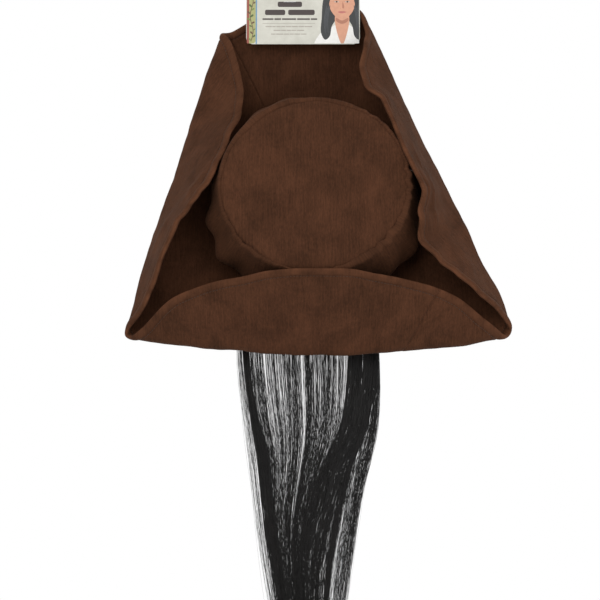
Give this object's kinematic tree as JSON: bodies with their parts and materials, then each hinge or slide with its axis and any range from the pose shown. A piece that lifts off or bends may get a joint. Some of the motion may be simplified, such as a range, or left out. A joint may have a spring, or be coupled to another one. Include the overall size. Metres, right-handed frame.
{
  "type": "pirate hat",
  "caption": "Tricorn costume hat in brown suede cloth: flaps turned up and tacked to a round crown, stiffened brim, hair sewn in at the back, hanging by a header card.",
  "frame": {"origin": "centre of the head opening, in the middle plane of the brim", "axes": "+Z to the front of the hat, which is up while it hangs by its card; +Y out of the head opening; the crown stands towards -Y; +X to the viewer's right when looking at the crown"},
  "size_m": [0.3682, 0.1066, 0.8209],
  "materials": {
    "suede": "brushed suede cloth with a fine vertical rib",
    "stiffener": "non-woven interlining",
    "lining": "plain woven lining",
    "sweatband": "twill tape",
    "label_tape": "satin label tape, blank",
    "thread": "sewing thread",
    "hair": "glossy synthetic hair",
    "weft_tape": "stitched weft",
    "card": "printed card",
    "staple_wire": "bright wire"
  },
  "bodies": {
    "hat": {"crown_top_panel": "suede", "crown_top_interfacing": "stiffener", "crown_top_lining": "lining", "crown_side_panel": "suede", "crown_side_interfacing": "stiffener", "crown_side_lining": "lining", "sweatband": "sweatband", "care_label": "label_tape", "brim_upper_left": "suede", "brim_upper_right": "suede", "brim_stiffener_left": "stiffener", "brim_stiffener_right": "stiffener", "brim_under_left": "suede", "brim_under_right": "suede", "flap_tacks": "thread", "hair_weft": "weft_tape", "hair_root": "hair", "hang_card": "card", "card_staples": "staple_wire"},
    "hair_left": {"hair_left_lock_1": "hair", "hair_left_lock_2": "hair", "hair_left_lock_3": "hair"},
    "hair_centre": {"hair_centre_lock_1": "hair", "hair_centre_lock_2": "hair", "hair_centre_lock_3": "hair", "hair_centre_lock_4": "hair", "hair_centre_lock_5": "hair"},
    "hair_right": {"hair_right_lock_1": "hair", "hair_right_lock_2": "hair", "hair_right_lock_3": "hair", "hair_right_lock_4": "hair"}
  },
  "joints": [
    {"name": "hair_left_swing", "type": "hinge", "parent": "hat", "child": "hair_left", "pos_m": [-0.06162, 0.007, -0.1149], "axis": [1, 0, 0], "range_deg": [-10, 95]},
    {"name": "hair_centre_swing", "type": "hinge", "parent": "hat", "child": "hair_centre", "pos_m": [-0.01263, 0.007, -0.1149], "axis": [1, 0, 0], "range_deg": [-10, 95]},
    {"name": "hair_right_swing", "type": "hinge", "parent": "hat", "child": "hair_right", "pos_m": [0.0425, 0.007, -0.1149], "axis": [1, 0, 0], "range_deg": [-10, 95]}
  ]
}
